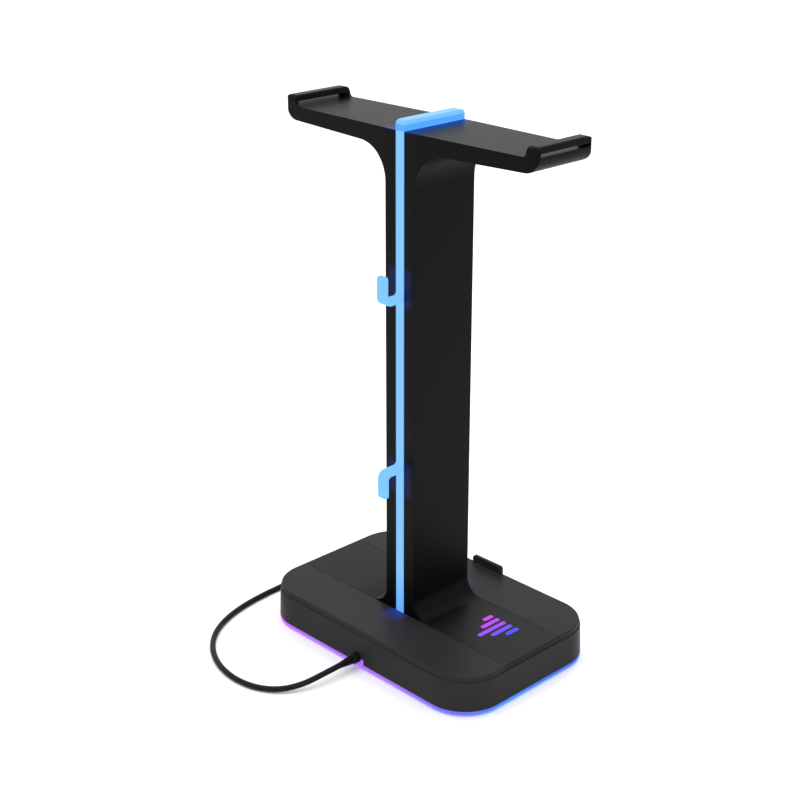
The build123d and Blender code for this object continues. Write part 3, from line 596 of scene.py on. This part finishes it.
# ---------------------------------------------------------------- tools
def material_to(names: Sequence[str], material: bpy.types.Material) -> None:
    """Give CAD nodes a material.

    Args:
        names: The nodes' names.
        material: The material.
    """
    for name in names:
        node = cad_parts[name]
        if not node.material_slots:
            node.data.materials.append(material)
        for place in node.material_slots:
            place.material = material
        LOG.info("%s: %s", name, material.name)


# ---------------------------------------------------------------- the cord
@dataclass
class PowerCord:
    """The stand's power cord: from its grommet, round the base, into a neat coil, to its plug.

    Attributes:
        radius: Half the cord's thickness.
        length: The cord's real length; not used.
        coil_radius: Radius at the middle of the coil's turns.
        points_a_turn: Control points for each turn.
    """

    radius: float = 1.5 * MM
    length: float = 1500.0 * MM
    coil_radius: float = 17.25 * MM
    points_a_turn: int = 16
    lanes: tuple[tuple[int, int], ...] = (
        (1, 0), (0, 0), (-1, 0), (-1, 1), (-1, 2), (-1, 3), (0, 3), (1, 3), (1, 2), (0, 2), (0, 1), (1, 1))
    low: Vector = field(default_factory=lambda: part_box("light_ring")[0])
    high: Vector = field(default_factory=lambda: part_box("light_ring")[1])

    def route(self) -> list[Vector]:
        """Return the listed points from the grommet to the coil."""
        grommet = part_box("strain_relief")
        exit_x = (grommet[0].x + grommet[1].x) / 2
        side, rear, front, floor = self.high.x / MM, self.high.y / MM, self.low.y / MM, self.radius / MM
        x = exit_x / MM
        points = [
            (x, grommet[1].y / MM, 5.8),
            (x + 0.2, rear + 22.7, 5.4),
            (x + 2.5, rear + 34.2, 3.4),
            (x + 8.5, rear + 44.2, 1.9),
            (x + 19.0, rear + 51.2, floor),
            (x + 33.0, rear + 53.7, floor),
            (side - 25.7, rear + 51.2, floor),
            (side - 9.7, rear + 43.2, floor),
            (side + 3.3, rear + 29.7, floor),
            (side + 11.3, rear + 11.2, floor),
            (side + 14.7, rear - 9.8, floor),
            (side + 15.2, rear - 34.8, floor),
            (side + 16.8, front + 37.8, floor),
            (side + 16.9, front + 11.8, floor),
            (side + 18.2, front - 8.3, floor),
        ]
        return [Vector(point) * MM for point in points]

    def middle(self) -> Vector:
        """Return the coil's middle, on the table."""
        return Vector((self.high.x - 2.25 * MM, self.low.y - 24.35 * MM, 0.0))

    def coil(self) -> list[Vector]:
        """Return the coil's control points, wound clockwise from the side away from the stand."""
        middle = self.middle()
        away = middle.normalized()
        last_angle = math.atan2(away.y, away.x)
        step = 2 * math.pi / self.points_a_turn
        total = 2 * math.pi * (len(self.lanes) - 1) - last_angle
        swell = 1 / math.cos(math.pi / self.points_a_turn)
        points = []
        for i in range(int(total / step) + 1):
            angle = -i * step
            turn = (i * step + math.pi) / (2 * math.pi)
            lane = min(int(turn), len(self.lanes) - 1)
            blend = min(1.0, max(0.0, (turn - lane) * 4.0))
            before = self.lanes[max(lane - 1, 0)]
            here = self.lanes[lane]
            across = before[0] + (here[0] - before[0]) * blend
            up = before[1] + (here[1] - before[1]) * blend
            reach = (self.coil_radius + across * 2 * self.radius) * swell
            points.append(middle + Vector((math.cos(angle) * reach, math.sin(angle) * reach,
                                           self.radius * (1 + 2 * up))))
        return points

    def tail(self) -> list[Vector]:
        """Return the points from the coil to the plug."""
        middle = self.middle()
        away = middle.normalized()
        across = Vector((away.y, -away.x, 0))
        outer = self.coil_radius / MM + 3.0
        steps = [(outer + 1.1, 6.3), (outer + 5.4, 11.4), (outer + 11.8, 13.7), (outer + 18.2, 13.1)]
        return [middle + (away * a + across * b) * MM + Vector((0, 0, 4.0 * MM)) for a, b in steps]

    def build(self) -> bpy.types.Object:
        """Returns:
            The cord.
        """
        points = self.route() + self.coil() + self.tail()
        curve = bpy.data.curves.new("power_cord", "CURVE")
        curve.dimensions = "3D"
        spline = curve.splines.new("NURBS")
        spline.points.add(len(points) - 1)
        for control, point in zip(spline.points, points):
            control.co = (*point, 1.0)
        spline.order_u = 3
        spline.use_endpoint_u = True
        spline.resolution_u = 5
        curve.bevel_depth = self.radius
        curve.bevel_resolution = 5
        cord = bpy.data.objects.new("power_cord", curve)
        bpy.context.scene.collection.objects.link(cord)
        curve.materials.append(CordJacket().build())
        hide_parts("usb_cord", "usb_cord_tail", "usb_cord_coil")
        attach(cord, "stand")
        LOG.info("power cord: %d control points", len(points))
        return cord


# ---------------------------------------------------------------- studio
@dataclass
class Studio:
    """A plain pale floor, soft lights and the camera.

    Attributes:
        camera_place: Where the camera stands.
        camera_way: The way it looks.
        lens: Its focal length in millimetres.
        light_target: What the lights face.
    """

    camera_place: Vector = field(default_factory=lambda: Vector((-0.51348, 0.51749, 0.42943)))
    camera_way: Vector = field(default_factory=lambda: Vector((0.66546, -0.64482, -0.376)))
    lens: float = 70.79
    light_target: Vector = field(default_factory=lambda: Vector((0.0, 0.0, 0.12)))

    def camera(self) -> None:
        """Place the camera."""
        data = bpy.data.cameras.new("camera")
        data.lens = self.lens
        data.clip_start = 0.01
        data.clip_end = 20.0
        camera = bpy.data.objects.new("camera", data)
        bpy.context.scene.collection.objects.link(camera)
        camera.location = self.camera_place
        camera.rotation_euler = self.camera_way.to_track_quat("-Z", "Y").to_euler()
        bpy.context.scene.camera = camera

    def floor(self) -> None:
        """Lay the pale floor."""
        bpy.ops.object.select_all(action="DESELECT")
        bpy.ops.mesh.primitive_plane_add(size=12.0, location=(0, 0, 0))
        floor = bpy.context.object
        floor.name = "floor"
        graph = Graph("pale_floor")
        graph.set(Base_Color=(0.98, 0.98, 0.98), Roughness=0.9, Specular_IOR_Level=0.1)
        floor.data.materials.append(graph.material)

    def light(self, name: str, place: Colour, size: float, power: float) -> None:
        """Hang one soft square light that faces the stand.

        Args:
            name: The light's name.
            place: Where it hangs.
            size: Its side.
            power: Its power in watts.
        """
        data = bpy.data.lights.new(name, "AREA")
        data.size = size
        data.energy = power
        light = bpy.data.objects.new(name, data)
        light.location = place
        light.rotation_euler = (self.light_target - Vector(place)).to_track_quat("-Z", "Y").to_euler()
        light.visible_camera = False
        bpy.context.scene.collection.objects.link(light)

    def world(self, strength: float) -> None:
        """Fill the room with even white light."""
        world = bpy.data.worlds.new("room")
        world.use_nodes = True
        background = world.node_tree.nodes["Background"]
        background.inputs["Color"].default_value = (1.0, 1.0, 1.0, 1.0)
        background.inputs["Strength"].default_value = strength
        bpy.context.scene.world = world

    def build(self) -> None:
        """Set up the studio."""
        self.camera()
        self.floor()
        self.world(1.02)
        self.light("top_softbox", (0.1, -0.1, 1.3), 1.2, 10.0)
        self.light("far_softbox", (1.1, -1.1, 0.85), 1.3, 2.2)
        bpy.context.scene.view_settings.view_transform = "Standard"


# ---------------------------------------------------------------- the stand
def dress() -> None:
    """Give every CAD node its material."""
    shells = PostPlastic("post_black", (0.0022, 0.0022, 0.0024), specular=0.061)
    base = BasePlastic("base_black", (0.0215, 0.0208, 0.0213), roughness=0.42, specular=0.062)
    plug = MouldedPlastic("plug_black", (0.0075, 0.0075, 0.008), roughness=0.38, specular=0.25)
    finishes = {
        shells: ("left_column_shell", "right_column_shell"),
        base: ("base_shell",),
        MouldedPlastic("button_black", (0.020, 0.0195, 0.0205), specular=0.12): ("mode_button",),
        MouldedPlastic("cover_black", (0.016, 0.016, 0.017), roughness=0.6): ("base_cover",),
        LitGuide(): ("light_guide",),
        LitRim(): ("light_ring",),
        LitMark(): ("mark_diffuser",),
        PlainMoulding("foot_rubber", (0.010, 0.010, 0.011), roughness=0.85): ("rubber_feet",),
        Metal("screw_steel", (0.42, 0.42, 0.44), roughness=0.32): (
            "cover_screws", "foot_screws", "board_screws", "ballast_screws"),
        Metal("ballast_steel", (0.36, 0.36, 0.37), 0.42, (1.0, 14.0, 1.0)): ("ballast_plate",),
        Metal("pin_steel", (0.55, 0.55, 0.57), 0.22, (1.0, 14.0, 1.0)): ("joining_pins",),
        Metal("carrier_aluminium", (0.75, 0.76, 0.78), 0.34): ("led_carrier",),
        BoardMask("board_green", (0.012, 0.085, 0.030), (0.035, 0.160, 0.060)): (
            "control_board", "mark_led_board", "button_board"),
        BoardMask("board_white", (0.72, 0.72, 0.70), (0.60, 0.60, 0.57)): (
            "ring_led_boards", "front_led_strip", "rear_led_strip"),
        LightChip("light_chip"): ("ring_leds", "front_leds", "rear_leds", "mark_leds"),
        PlainMoulding("header_white", (0.70, 0.69, 0.65), roughness=0.45): (
            "board_headers", "cord_connector"),
        PlainMoulding("chip_black", (0.014, 0.014, 0.015), roughness=0.55): ("board_chips",),
        PlainMoulding("switch_black", (0.018, 0.018, 0.019), roughness=0.4): ("tact_switch",),
        PlainMoulding("plunger_brown", (0.110, 0.045, 0.018), roughness=0.4): ("tact_plunger",),
        CordJacket("lead_jacket"): ("column_lead", "button_lead", "mark_lead", "ring_lead", "inner_cord"),
        CordJacket("relief_rubber"): ("strain_relief",),
        CordJacket("spare_cord"): ("usb_cord", "usb_cord_tail", "usb_cord_coil"),
        HookTape(): ("cord_tie",),
        plug: ("usb_plug_body",),
        Metal("plug_steel", (0.70, 0.70, 0.72), 0.24, (1.0, 1.0, 9.0)): ("usb_plug_shell",),
        PlainMoulding("tongue_white", (0.72, 0.72, 0.70), roughness=0.4): ("usb_plug_tongue",),
    }
    for finish, names in finishes.items():
        material_to(names, finish.build())


def main() -> None:
    """Build the stand's looks."""
    logging.basicConfig(level=logging.INFO)
    Studio().build()
    dress()
    PowerCord().build()


if __name__ == "__main__":
    main()
